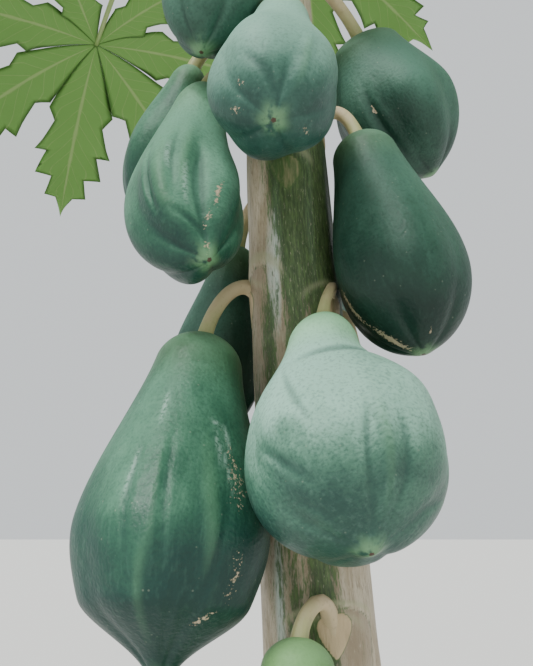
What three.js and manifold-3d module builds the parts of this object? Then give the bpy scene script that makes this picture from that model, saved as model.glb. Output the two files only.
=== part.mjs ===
// A fruiting papaya tree, three.js r186 with manifold-3d for its joins and cuts.
// Millimetres, +Z up. The origin is the centre of the flat cut under the trunk, at ground level.
// The front of the tree, with the large green fruits of the picture, faces -Y.
// A bearing is an angle in degrees round the trunk: 0 is the front, 90 the right, 180 the back.
import * as THREE from "three";
import { mergeVertices } from "three/addons/utils/BufferGeometryUtils.js";
import Module from "manifold-3d";

const wasm = await Module();
wasm.setup();

const UP = new THREE.Vector3(0, 0, 1);
const GOLDEN_ANGLE = 137.5;
const CLEARANCE = 0.3; // between the trunk and what grows from it
const SMALLEST_DETAIL = 0.2; // what joining leaves below this size is smoothed away
const LEAF_DETAIL = 0.8; // the same where a petiole meets its blade

// Trunk: unbranched, tapering, with one slow bow to the left and a flare at its foot.
const TRUNK = {
  height: 2560,
  footRadius: 84,
  tipRadius: 22,
  taper: 1.28,
  flare: 24,
  flareHeight: 95,
  bow: 50.5,
  sides: 18,
  rings: 22,
};

// A fruit's stalk: thick, rising a little from the trunk before it turns down into the neck.
const STALK = {
  rootRadius: 9.5,
  radius: 6.5,
  neckRadius: 8,
  sides: 6,
  steps: 5,
  reach: 24,
  rise: 26,
  arrival: 24,
  sunk: 9,
};

const CAP = 0.1; // the rounded share of a fruit's length at its neck
const CREASES = 5;
const CREASE_FADE = [0.15, 0.6]; // where along a fruit its creases begin and are at their full depth
const FRUIT_RINGS = 9;
const FRUIT_SIDES = 16;
const SMALL_FRUIT_RINGS = 7;
const SMALL_FRUIT_SIDES = 10;

// The fruits of the picture. Each stalk leaves the trunk at a bearing and a height. The neck ends at top
// and the blossom end is at tip, and bow moves the middle between them. belly is where the fruit is
// widest, from 0 at the neck to 1 at the tip, neck is the neck's share of the width, blunt is the power
// that rounds the tip, lobes is how deep its five creases are and turn is the angle of the first.
const PHOTO_FRUITS = [
  {
    name: "fruit_front", bearing: 48, height: 1474, top: [-42, -74, 1448], tip: [-20, -172, 1264],
    bow: [-2, -4, -34], width: 152, neck: 0.38, belly: 0.6, blunt: 0.52, lobes: 0.025, turn: 10,
  },
  {
    name: "fruit_low_left", bearing: -85, height: 1485, top: [-146, -35, 1440], tip: [-171, -95, 1164],
    bow: [-8, 0, 0], width: 162, neck: 0.44, belly: 0.68, blunt: 0.54, lobes: 0.025, turn: 0,
  },
  {
    name: "fruit_top_centre", bearing: 0, height: 1790, top: [-74, -62, 1752], tip: [-85, -176, 1580],
    bow: [-7, 0, -34], width: 109, neck: 0.44, belly: 0.6, blunt: 0.52, lobes: 0.04, turn: 20,
  },
  {
    name: "fruit_top_left", bearing: -75, height: 1935, top: [-122, -28, 1908], tip: [-149, -84, 1694],
    bow: [0, 0, 0], width: 95, neck: 0.45, belly: 0.66, blunt: 0.58, lobes: 0.03, turn: 0,
  },
  {
    name: "fruit_left", bearing: -60, height: 1704, top: [-149, -26, 1690], tip: [-138, -128, 1484],
    bow: [-36, 4, -58], rise: 14, width: 102, neck: 0.44, belly: 0.54, blunt: 0.6, lobes: 0.07, turn: 30,
  },
  {
    name: "fruit_left_behind", bearing: -110, height: 1755, top: [-166, 22, 1740], tip: [-214, 42, 1575],
    bow: [-6, 0, 0], width: 80, neck: 0.42, belly: 0.6, blunt: 0.6, lobes: 0.05, turn: 0,
  },
  {
    name: "fruit_right", bearing: 80, height: 1660, top: [-1, -15, 1642], tip: [45, -60, 1420],
    bow: [4, 0, 0], width: 119, neck: 0.5, belly: 0.66, blunt: 0.56, lobes: 0.03, turn: 0,
  },
  {
    name: "fruit_bottom", bearing: 8, height: 1188, top: [-65, -78, 1190], tip: [-77, -122, 995],
    bow: [0, -4, 0], rise: 44, width: 105, neck: 0.5, belly: 0.6, blunt: 0.56, lobes: 0.03, turn: 0,
  },
  {
    name: "fruit_dark_behind", bearing: -145, height: 1590, top: [-120, 52, 1554], tip: [-154, 92, 1357],
    bow: [0, 4, 0], width: 95, neck: 0.45, belly: 0.62, blunt: 0.56, lobes: 0.03, turn: 0,
  },
  {
    name: "fruit_right_behind", bearing: 120, height: 1462, top: [-5, 25, 1436], tip: [22, 50, 1272],
    bow: [2, 4, 0], width: 90, neck: 0.42, belly: 0.6, blunt: 0.56, lobes: 0.03, turn: 0,
  },
  {
    name: "fruit_top_right", bearing: 115, height: 1830, top: [9, 42, 1786], tip: [87, 68, 1640],
    bow: [-6, 0, 0], width: 128, neck: 0.56, belly: 0.52, blunt: 0.56, lobes: 0.07, turn: 30,
  },
];

// Large fruits on the far side, which hang close along the trunk.
const FAR_FRUITS = [
  { bearing: 182, height: 1855, length: 175 },
  { bearing: 172, height: 1650, length: 200 },
  { bearing: 185, height: 1425, length: 205 },
  { bearing: 172, height: 1190, length: 190 },
];

// Younger fruits, smaller one after another up to the leaves.
const YOUNG = {
  count: 8,
  height: 1985,
  spacing: 26,
  bearing: 48,
  length: 135,
  tipLength: 62,
};
// The shape of a fruit that hangs beside the trunk. width is its share of the length, drop is how far
// its neck is below the stalk's root, gap is its belly off the trunk, lean how far its tip swings out.
const HANGING = {
  width: 0.5,
  neck: 0.42,
  belly: 0.6,
  blunt: 0.56,
  lobes: 0.03,
  turn: 0,
  bow: new THREE.Vector3(),
  drop: 14,
  gap: 7,
  lean: 0.08,
};

// Leaves: each a round petiole with a blade of seven pointed lobes, older ones lower and more level.
// youth is the power that keeps them at their full size until near the top.
const LEAVES = {
  count: 28,
  height: 2215,
  tipHeight: 2548,
  bearing: 68,
  petiole: 740,
  tipPetiole: 340,
  rise: -7,
  tipRise: 80,
  reach: 372,
  tipReach: 90,
  tilt: -30,
  tipTilt: 54,
  youth: 2.4,
};
// A petiole thins from its root to a share of its blade's thickness; a young leaf's root is thinner.
const PETIOLE = { radius: 9, youngRadius: 5, tipShare: 0.44, sides: 5, steps: 4, arch: 13 };
const BLADE = { thickness: 9, tipThickness: 3.5, shoulder: 0.55, droop: 0.3 };
const LOBE_ANGLES = [-148, -100, -50, 0, 50, 100, 148];
const LOBE_LENGTHS = [0.62, 0.86, 0.97, 1, 0.97, 0.86, 0.62];
// One lobe from the notch before it to its far side: degrees from its midrib and share of its length.
const LOBE_ANGLE_STEPS = [-25, -14, 0, 14];
const LOBE_SHARES = [0.4, 0.78, 1, 0.78];
const BASE_NOTCH = { angle: -180, share: 0.26 };

const COLOURS = {
  trunk: 0x9a9878,
  fruit: 0x3f6f5c,
  leaf: 0x4d7a33,
};

const radians = THREE.MathUtils.degToRad;
const lerp = THREE.MathUtils.lerp;

// The trunk's axis: upright at the ground, then bowed towards -X.
class TrunkAxis extends THREE.Curve {
  getPoint(t) {
    return new THREE.Vector3(-TRUNK.bow * (1 - Math.cos(Math.PI * t)), 0, TRUNK.height * t);
  }
}
const trunkAxis = new TrunkAxis();

const axisAt = (z) => trunkAxis.getPoint(z / TRUNK.height);

function trunkRadius(z) {
  const left = Math.max(0, 1 - z / TRUNK.height);
  const taper = TRUNK.tipRadius + (TRUNK.footRadius - TRUNK.tipRadius) * left ** TRUNK.taper;
  return taper + TRUNK.flare * Math.exp(-z / TRUNK.flareHeight);
}

const outward = (bearing) =>
  new THREE.Vector3(Math.sin(radians(bearing)), -Math.cos(radians(bearing)), 0);

// A closed solid from a geometry. Faces that shrink to a line at a pole are left out.
function solidOf(geometry) {
  geometry.deleteAttribute("normal");
  geometry.deleteAttribute("uv");
  const merged = mergeVertices(geometry, 1e-3);
  const corners = merged.index.array;
  const faces = [];
  for (let i = 0; i < corners.length; i += 3) {
    const face = [corners[i], corners[i + 1], corners[i + 2]];
    if (new Set(face).size === 3) {
      faces.push(...face);
    }
  }
  return new wasm.Manifold(new wasm.Mesh({
    numProp: 3,
    vertProperties: merged.attributes.position.array,
    triVerts: new Uint32Array(faces),
  }));
}

function geometryOf(solid) {
  const mesh = solid.getMesh();
  const points = new Float32Array(mesh.numVert * 3);
  for (let i = 0; i < mesh.numVert; i++) {
    points.set(mesh.vertProperties.subarray(i * mesh.numProp, i * mesh.numProp + 3), i * 3);
  }
  return new THREE.BufferGeometry()
    .setAttribute("position", new THREE.BufferAttribute(points, 3))
    .setIndex(new THREE.BufferAttribute(mesh.triVerts, 1));
}

// Moves every vertex of a geometry to where place puts it.
function reshaped(geometry, place) {
  const position = geometry.attributes.position;
  const point = new THREE.Vector3();
  for (let i = 0; i < position.count; i++) {
    point.fromBufferAttribute(position, i);
    const moved = place(point);
    position.setXYZ(i, moved.x, moved.y, moved.z);
  }
  return geometry;
}

// Turns a profile of [place along the curve, radius] pairs and bends it along the curve. toward is
// where its angle 0 faces, and swell widens or narrows it by angle and place.
function bent(profile, sides, curve, toward, swell = () => 1) {
  const turned = new THREE.LatheGeometry(profile.map(([t, r]) => new THREE.Vector2(r, t)), sides);
  return solidOf(reshaped(turned, (p) => {
    const along = curve.getTangent(p.y);
    const front = toward.clone().projectOnPlane(along).normalize();
    const side = along.clone().cross(front);
    const wide = swell(Math.atan2(p.x, p.z), p.y);
    return curve.getPoint(p.y).addScaledVector(front, p.z * wide).addScaledVector(side, p.x * wide);
  }));
}

// Evenly bent rings along a curve, closed by a flat end at each side.
function rodProfile(steps, radiusAt) {
  const profile = [[0, 0]];
  for (let i = 0; i <= steps; i++) {
    profile.push([i / steps, radiusAt(i / steps)]);
  }
  profile.push([1, 0]);
  return profile;
}

function trunkSolid(grow) {
  const profile = rodProfile(TRUNK.rings, (t) => trunkRadius(t * TRUNK.height) + grow);
  return bent(profile, TRUNK.sides, trunkAxis, outward(0));
}

function fruitProfile(rings, { width, neck, belly, blunt }) {
  const profile = [];
  for (let i = 0; i <= rings; i++) {
    const t = (1 - Math.cos((Math.PI * i) / rings)) / 2;
    const past = Math.max(0, (t - belly) / (1 - belly));
    const cap = t < CAP ? Math.sqrt(1 - (1 - t / CAP) ** 2) : 1;
    const body = lerp(neck, 1, THREE.MathUtils.smoothstep(t, 0, belly));
    profile.push([t, (width / 2) * cap * body * Math.max(0, 1 - past ** 2) ** blunt]);
  }
  return profile;
}

function stalkSolid(fruit, along) {
  const out = outward(fruit.bearing);
  const root = axisAt(fruit.height).addScaledVector(out, trunkRadius(fruit.height) - STALK.rootRadius);
  const leaving = root.clone()
    .addScaledVector(out, STALK.reach)
    .addScaledVector(UP, fruit.rise ?? STALK.rise);
  const arriving = fruit.top.clone().addScaledVector(along, -STALK.arrival);
  const end = fruit.top.clone().addScaledVector(along, STALK.sunk);
  const curve = new THREE.CubicBezierCurve3(root, leaving, arriving, end);
  const endRadius = (t) => (t < 0.5 ? STALK.rootRadius : STALK.neckRadius);
  const radiusAt = (t) => lerp(STALK.radius, endRadius(t), (2 * t - 1) ** 2);
  const across = new THREE.Vector3(-out.y, out.x, 0);
  return bent(rodProfile(STALK.steps, radiusAt), STALK.sides, curve, across);
}

function fruitSolid(fruit, rings, sides) {
  const middle = fruit.top.clone().add(fruit.tip).multiplyScalar(0.5).add(fruit.bow);
  const spine = new THREE.QuadraticBezierCurve3(fruit.top, middle, fruit.tip);
  const lobing = (angle, t) => {
    const depth = fruit.lobes * THREE.MathUtils.smoothstep(t, ...CREASE_FADE);
    return 1 + depth * Math.cos(CREASES * (angle - radians(fruit.turn)));
  };
  const body = bent(fruitProfile(rings, fruit), sides, spine, outward(fruit.bearing), lobing);
  return body.add(stalkSolid(fruit, spine.getTangent(0)));
}

// A fruit that hangs beside the trunk from a bearing and a height, clear of the trunk at its belly.
function hanging(bearing, height, length) {
  const width = length * HANGING.width;
  const out = outward(bearing);
  const topHeight = height - HANGING.drop;
  const tipHeight = topHeight - length;
  const bellyHeight = topHeight - length * HANGING.belly;
  const away = trunkRadius(bellyHeight) + width / 2 + HANGING.gap;
  return {
    ...HANGING,
    bearing,
    height,
    width,
    top: axisAt(topHeight).addScaledVector(out, away * (1 - HANGING.lean)),
    tip: axisAt(tipHeight).addScaledVector(out, away * (1 + HANGING.lean)),
  };
}

function petioleSolid(leaf) {
  const out = outward(leaf.bearing);
  const root = axisAt(leaf.height).addScaledVector(out, trunkRadius(leaf.height) - leaf.rootRadius);
  const steep = radians(leaf.rise + leaf.arch);
  const middle = root.clone()
    .addScaledVector(out, 0.5 * leaf.petiole * Math.cos(steep))
    .addScaledVector(UP, 0.5 * leaf.petiole * Math.sin(steep));
  const curve = new THREE.QuadraticBezierCurve3(root, middle, leaf.centre);
  const tipRadius = leaf.thickness * PETIOLE.tipShare;
  const profile = rodProfile(PETIOLE.steps, (t) => lerp(leaf.rootRadius, tipRadius, t));
  return bent(profile, PETIOLE.sides, curve, new THREE.Vector3(-out.y, out.x, 0));
}

// The outline of a blade, corner by corner: an angle from its middle lobe and a share of its reach.
function bladeOutline() {
  const outline = [];
  LOBE_ANGLES.forEach((angle, lobe) => {
    LOBE_ANGLE_STEPS.forEach((step, i) => {
      outline.push({ angle: radians(angle + step), share: LOBE_LENGTHS[lobe] * LOBE_SHARES[i] });
    });
  });
  outline[0] = { angle: radians(BASE_NOTCH.angle), share: BASE_NOTCH.share };
  return outline;
}
const outline = bladeOutline();

// Splits the four-sided faces of a turned disc's upper half as its lower half's are split, so that the
// two stay parallel when the disc is bent. The disc's profile has so many steps.
function evenlySplit(disc, steps) {
  const corners = disc.index.array;
  for (let face = 0; face < corners.length / 6; face++) {
    if (face % steps >= steps / 2) {
      const [a, b, d, c] = corners.slice(face * 6, face * 6 + 4);
      corners.set([a, b, c, c, d, a], face * 6);
    }
  }
  return disc;
}

function bladeSolid(leaf) {
  const half = leaf.thickness / 2;
  const profile = [[0, -half], [BLADE.shoulder, -half], [1, 0], [BLADE.shoulder, half], [0, half]];
  const points = profile.map(([r, y]) => new THREE.Vector2(r, y));
  const disc = evenlySplit(new THREE.LatheGeometry(points, outline.length), profile.length - 1);
  const out = outward(leaf.bearing);
  const forward = out.clone()
    .multiplyScalar(Math.cos(leaf.tilt))
    .addScaledVector(UP, Math.sin(leaf.tilt));
  const side = UP.clone().cross(out);
  const above = forward.clone().cross(side);
  return solidOf(reshaped(disc, (p) => {
    const turns = Math.atan2(p.x, p.z) / (2 * Math.PI);
    const corner = outline[Math.round((turns + 1) * outline.length) % outline.length];
    const reach = Math.hypot(p.x, p.z) * corner.share * leaf.reach;
    const sag = (BLADE.droop * reach * reach) / leaf.reach;
    return leaf.centre.clone()
      .addScaledVector(forward, reach * Math.cos(corner.angle))
      .addScaledVector(side, reach * Math.sin(corner.angle))
      .addScaledVector(above, p.y - sag);
  }));
}

function leafAt(index) {
  const young = index / (LEAVES.count - 1);
  const bearing = LEAVES.bearing + GOLDEN_ANGLE * index;
  const height = lerp(LEAVES.height, LEAVES.tipHeight, young);
  const small = young ** LEAVES.youth;
  const petiole = lerp(LEAVES.petiole, LEAVES.tipPetiole, small);
  const rise = lerp(LEAVES.rise, LEAVES.tipRise, young);
  const centre = axisAt(height)
    .addScaledVector(outward(bearing), trunkRadius(height) + petiole * Math.cos(radians(rise)))
    .addScaledVector(UP, petiole * Math.sin(radians(rise)));
  return {
    bearing,
    height,
    petiole,
    rise,
    arch: PETIOLE.arch * (1 - young),
    rootRadius: lerp(PETIOLE.radius, PETIOLE.youngRadius, young),
    centre,
    reach: lerp(LEAVES.reach, LEAVES.tipReach, small),
    tilt: radians(lerp(LEAVES.tilt, LEAVES.tipTilt, young)),
    thickness: lerp(BLADE.thickness, BLADE.tipThickness, young),
  };
}

const group = new THREE.Group();
group.name = "papaya_tree";

// Adds a solid as a named mesh, its narrowest faces merged across the seams of what it was joined from.
function addNode(name, solid, colour, roughness) {
  const material = new THREE.MeshStandardMaterial({ color: colour, roughness, metalness: 0 });
  const clean = solid.asOriginal().simplify(SMALLEST_DETAIL);
  const mesh = new THREE.Mesh(geometryOf(clean), material);
  mesh.name = name;
  group.add(mesh);
}

const twoDigits = (index) => String(index + 1).padStart(2, "0");

const trunkRoom = trunkSolid(CLEARANCE);
addNode("trunk", trunkSolid(0), COLOURS.trunk, 0.85);

for (const shape of PHOTO_FRUITS) {
  const [top, tip, bow] = [shape.top, shape.tip, shape.bow].map((point) => new THREE.Vector3(...point));
  const fruit = { ...shape, top, tip, bow };
  const solid = fruitSolid(fruit, FRUIT_RINGS, FRUIT_SIDES).subtract(trunkRoom);
  addNode(shape.name, solid, COLOURS.fruit, 0.5);
}

FAR_FRUITS.forEach((place, index) => {
  const fruit = hanging(place.bearing, place.height, place.length);
  const solid = fruitSolid(fruit, FRUIT_RINGS, FRUIT_SIDES).subtract(trunkRoom);
  addNode(`fruit_far_${twoDigits(index)}`, solid, COLOURS.fruit, 0.5);
});

for (let index = 0; index < YOUNG.count; index++) {
  const young = index / (YOUNG.count - 1);
  const length = lerp(YOUNG.length, YOUNG.tipLength, young);
  const bearing = YOUNG.bearing + GOLDEN_ANGLE * index;
  const fruit = hanging(bearing, YOUNG.height + YOUNG.spacing * index, length);
  const solid = fruitSolid(fruit, SMALL_FRUIT_RINGS, SMALL_FRUIT_SIDES).subtract(trunkRoom);
  addNode(`fruit_young_${twoDigits(index)}`, solid, COLOURS.fruit, 0.5);
}

for (let index = 0; index < LEAVES.count; index++) {
  const leaf = leafAt(index);
  const joined = petioleSolid(leaf).add(bladeSolid(leaf)).asOriginal().simplify(LEAF_DETAIL);
  const solid = joined.subtract(trunkRoom);
  addNode(`leaf_${twoDigits(index)}`, solid, COLOURS.leaf, 0.6);
}

export default group;
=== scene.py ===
# A fruiting papaya tree: trunk, green fruits on their stalks, and a crown of lobed leaves.
# Metres, +Z up, the front of the tree faces -Y. A bearing is an angle in degrees round the trunk:
# 0 is the front, 90 the right, 180 the back.
import math

import bpy
import numpy as np
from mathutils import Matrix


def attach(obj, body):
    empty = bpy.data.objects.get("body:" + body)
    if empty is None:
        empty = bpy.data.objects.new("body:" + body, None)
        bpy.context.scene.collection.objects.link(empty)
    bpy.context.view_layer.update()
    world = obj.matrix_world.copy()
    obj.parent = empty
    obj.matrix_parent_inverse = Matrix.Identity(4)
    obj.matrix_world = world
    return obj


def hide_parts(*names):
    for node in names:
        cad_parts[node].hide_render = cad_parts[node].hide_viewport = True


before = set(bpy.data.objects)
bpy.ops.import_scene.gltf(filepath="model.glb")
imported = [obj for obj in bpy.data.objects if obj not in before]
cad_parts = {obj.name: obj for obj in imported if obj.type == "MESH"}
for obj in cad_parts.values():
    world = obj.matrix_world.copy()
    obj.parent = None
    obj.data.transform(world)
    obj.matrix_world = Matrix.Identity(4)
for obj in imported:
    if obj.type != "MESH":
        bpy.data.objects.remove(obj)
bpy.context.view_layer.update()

# Camera
# It stands less than a metre in front of the fruiting part of the trunk and looks up at it.
CAMERA_PLACE = (-0.0904, -0.743, 1.292)
CAMERA_RISE = 12.0
FIELD_OF_VIEW = 45.0
SENSOR_WIDTH = 36
FARTHEST_SEEN = 100
camera = bpy.data.objects.new("camera", bpy.data.cameras.new("camera"))
bpy.context.scene.collection.objects.link(camera)
camera.location = CAMERA_PLACE
camera.rotation_euler = (math.radians(90 + CAMERA_RISE), 0, 0)
camera.data.sensor_width = SENSOR_WIDTH
camera.data.lens = SENSOR_WIDTH / 2 / math.tan(math.radians(FIELD_OF_VIEW / 2))
camera.data.clip_end = FARTHEST_SEEN
bpy.context.scene.camera = camera

# Floor and light
# A plain pale floor, an even pale surround, and one broad soft light from the upper left front.
FLOOR_SIZE = 60
FLOOR_GREY = (0.42, 0.42, 0.4, 1)
FLOOR_ROUGHNESS = 0.9
SURROUND = (0.90, 0.94, 0.96, 1)
SURROUND_STRENGTH = 0.95
SUN_STRENGTH = 8.0
SUN_WIDTH = 24.0
SUN_TILT, SUN_TURN = 38, -35
bpy.ops.mesh.primitive_plane_add(size=FLOOR_SIZE, location=(0, 0, 0))
floor = bpy.context.active_object
floor.name = "floor"
floor_paint = bpy.data.materials.new("floor_paint")
floor_paint.use_nodes = True
floor_shader = floor_paint.node_tree.nodes["Principled BSDF"]
floor_shader.inputs["Base Color"].default_value = FLOOR_GREY
floor_shader.inputs["Roughness"].default_value = FLOOR_ROUGHNESS
floor.data.materials.append(floor_paint)

surround = bpy.data.worlds.new("surround")
surround.use_nodes = True
background = surround.node_tree.nodes["Background"]
background.inputs["Color"].default_value = SURROUND
background.inputs["Strength"].default_value = SURROUND_STRENGTH
bpy.context.scene.world = surround

sun = bpy.data.objects.new("soft_light", bpy.data.lights.new("soft_light", "SUN"))
sun.data.energy = SUN_STRENGTH
sun.data.angle = math.radians(SUN_WIDTH)
sun.rotation_euler = (math.radians(SUN_TILT), 0, math.radians(SUN_TURN))
bpy.context.scene.collection.objects.link(sun)

# Trunk
# One soft woody stem with no branches, bowed a little to the left and flared at its foot. Its bark
# is smooth, streaked green, tan and silver, and marked by the shields where old leaves stood.
TRUNK_HEIGHT = 2.560
FOOT_RADIUS = 0.084
TIP_RADIUS = 0.022
TAPER = 1.28
FLARE = 0.024
FLARE_HEIGHT = 0.095
BOW = 0.0505
FOOT_LOBES, FOOT_LOBE_DEPTH, FOOT_LOBE_HEIGHT = 5, 0.05, 0.12
FLUTE_DEPTH = 0.0005
TIP_ROUNDING, TIP_END = 0.02, 0.15
TRUNK_COLUMNS = 156
# From one height to another and with how many rings: they lie closest where the picture looks.
TRUNK_BANDS = ((0, 1.1, 130), (1.1, 1.86, 350), (1.86, TRUNK_HEIGHT, 120))
# Old leaves climb the trunk in a spiral, each one golden angle further round.
GOLDEN_ANGLE = 137.5
SCAR_START, SCAR_END, SCAR_SPACING, SCAR_JITTER = 0.16, 2.2, 0.041, 0.006
# A scar starts this far above its stalk. Its pad starts below that and is widest at a share of its length.
SCAR_ABOVE = 0.010
PAD_BELOW, PAD_WIDTH, PAD_LENGTH, PAD_WIDEST = 0.004, 0.0155, 0.037, 0.3
SHIELD_DROP, SHIELD_LENGTH, SHIELD_NARROWING = 0.026, 0.095, 0.45
RIM_INSIDE, RIM_WIDTH = 0.001, 0.0019
BROW_OUTSIDE, BROW_WIDTH = 0.006, 0.0045
SWELLING, SWELLING_TALL, SWELLING_WIDE = 0.0018, 0.022, 0.03
PAD_RAISED, RIM_SUNK, BROW_RAISED = 0.0012, 0.0007, 0.0007


def smooth(value, low, high):
    """0 below low, 1 above high, and an S-shaped rise of 3x^2 - 2x^3 between them."""
    share = np.clip((value - low) / (high - low), 0, 1)
    return share * share * (3 - 2 * share)


def axis_at(z):
    """The trunk's axis: upright at the ground, moved along -X by bow times (1 - cos(pi z / height))."""
    z = np.asarray(z, float)
    return np.stack([-BOW * (1 - np.cos(np.pi * z / TRUNK_HEIGHT)), 0 * z, z], -1)


def trunk_radius(z):
    """A tapering power of the height that is left, and a flare that dies away above the foot."""
    left = np.clip(1 - np.asarray(z, float) / TRUNK_HEIGHT, 0, 1)
    return TIP_RADIUS + (FOOT_RADIUS - TIP_RADIUS) * left ** TAPER + FLARE * np.exp(-z / FLARE_HEIGHT)


def outward(bearing):
    """The level direction that a bearing points in."""
    turn = np.radians(bearing)
    return np.stack([np.sin(turn), -np.cos(turn), 0 * turn], -1)


def rings_round(spine, radius, toward):
    """A ring of points round each point of a spine, square to it: radius has one row for each ring
    and one column for each angle, and angle 0 faces toward. The angle turns from the front to the side,
    which is the spine's direction crossed with the front."""
    along = np.gradient(spine, axis=0)
    along /= np.linalg.norm(along, axis=1, keepdims=True)
    front = toward - along * (along @ toward)[:, None]
    front /= np.linalg.norm(front, axis=1, keepdims=True)
    side = np.cross(along, front)
    angle = np.linspace(0, 2 * np.pi, radius.shape[1], endpoint=False)
    level = np.cos(angle)[None, :, None] * front[:, None] + np.sin(angle)[None, :, None] * side[:, None]
    return spine[:, None] + radius[..., None] * level


def closed_mesh(name, rings, marks):
    """One mesh from rings of points, joined by four-sided faces and closed at both ends by a fan round
    the middle of the end ring. marks are named values, or vectors, one for each point."""
    count, columns = rings.shape[:2]
    grid = np.arange(count * columns).reshape(count, columns)
    beside = np.roll(grid, -1, axis=1)
    walls = np.stack([grid[:-1], beside[:-1], beside[1:], grid[1:]], -1).reshape(-1, 4)
    first = np.stack([grid[0], grid[0] * 0 + grid.size, beside[0]], -1)
    last = np.stack([beside[-1], grid[0] * 0 + grid.size + 1, grid[-1]], -1)
    points = np.concatenate([rings.reshape(-1, 3), [rings[0].mean(0), rings[-1].mean(0)]])
    mesh = bpy.data.meshes.new(name)
    mesh.from_pydata(points.tolist(), [], walls.tolist() + first.tolist() + last.tolist())
    for mark, values in marks.items():
        add_mark(mesh, mark, values)
    mesh.shade_smooth()
    piece = bpy.data.objects.new(name, mesh)
    bpy.context.scene.collection.objects.link(piece)
    return piece


def add_mark(mesh, mark, values):
    """Writes one value, or one vector, for each point of the rings, and the end ring's mean at each end."""
    kind = "FLOAT_VECTOR" if values.ndim == 3 else "FLOAT"
    ends = [values[0].mean(0, keepdims=True), values[-1].mean(0, keepdims=True)]
    width = 3 if values.ndim == 3 else 1
    flat = np.concatenate([values.reshape(-1, width)] + [end.reshape(-1, width) for end in ends])
    layer = mesh.attributes.new(mark, kind, "POINT")
    layer.data.foreach_set("vector" if width == 3 else "value", flat.ravel())


def put(tree, kind, inputs=None, **settings):
    """A new shader node. An input is linked where a socket is given for it, and set otherwise."""
    node = tree.nodes.new(kind)
    for key, value in settings.items():
        setattr(node, key, value)
    for key, value in (inputs or {}).items():
        if isinstance(value, bpy.types.NodeSocket):
            tree.links.new(value, node.inputs[key])
        else:
            node.inputs[key].default_value = value
    return node


def mixed(tree, share, first, second):
    """A colour part way from the first to the second."""
    node = put(tree, "ShaderNodeMix", {0: share, 6: first, 7: second}, data_type="RGBA")
    return node.outputs[2]


def stepped(tree, value, low, high, top=1.0):
    """The smooth rise from 0 at low to top at high, as smooth() does it."""
    inputs = {"Value": value, "From Min": low, "From Max": high, "To Max": top}
    return put(tree, "ShaderNodeMapRange", inputs, interpolation_type="SMOOTHSTEP").outputs[0]


def laid(tree, colour, paint, value, low, high, top=1.0):
    """The colour with a paint over it, whose share rises to top as value goes from low to high."""
    return mixed(tree, stepped(tree, value, low, high, top), colour, paint)


def joined(tree, operation, first, second):
    """One arithmetic step on two numbers."""
    return put(tree, "ShaderNodeMath", {0: first, 1: second}, operation=operation).outputs[0]


def times(tree, first, second):
    """The first number times the second."""
    return joined(tree, "MULTIPLY", first, second)


def plus(tree, first, second, share=1.0):
    """The first number and a share of the second."""
    return joined(tree, "ADD", first, second if share == 1.0 else times(tree, second, share))


def grain(tree, vector, scale, detail=3.0, stretch=None, roughness=0.55):
    """Noise from 0 to 1 at so many grains to the metre, drawn out where stretch gives other scales."""
    if stretch:
        vector = put(tree, "ShaderNodeMapping", {"Vector": vector, "Scale": stretch}).outputs[0]
    inputs = {"Vector": vector, "Scale": scale, "Detail": detail, "Roughness": roughness}
    return put(tree, "ShaderNodeTexNoise", inputs).outputs["Fac"]


def mark_of(tree, name, output="Fac"):
    """A mark that the mesh carries."""
    return put(tree, "ShaderNodeAttribute", attribute_name=name).outputs[output]


def fresh_finish(name):
    """A new material with its tree and its shader."""
    finish = bpy.data.materials.new(name)
    finish.use_nodes = True
    return finish, finish.node_tree, finish.node_tree.nodes["Principled BSDF"]


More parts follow.
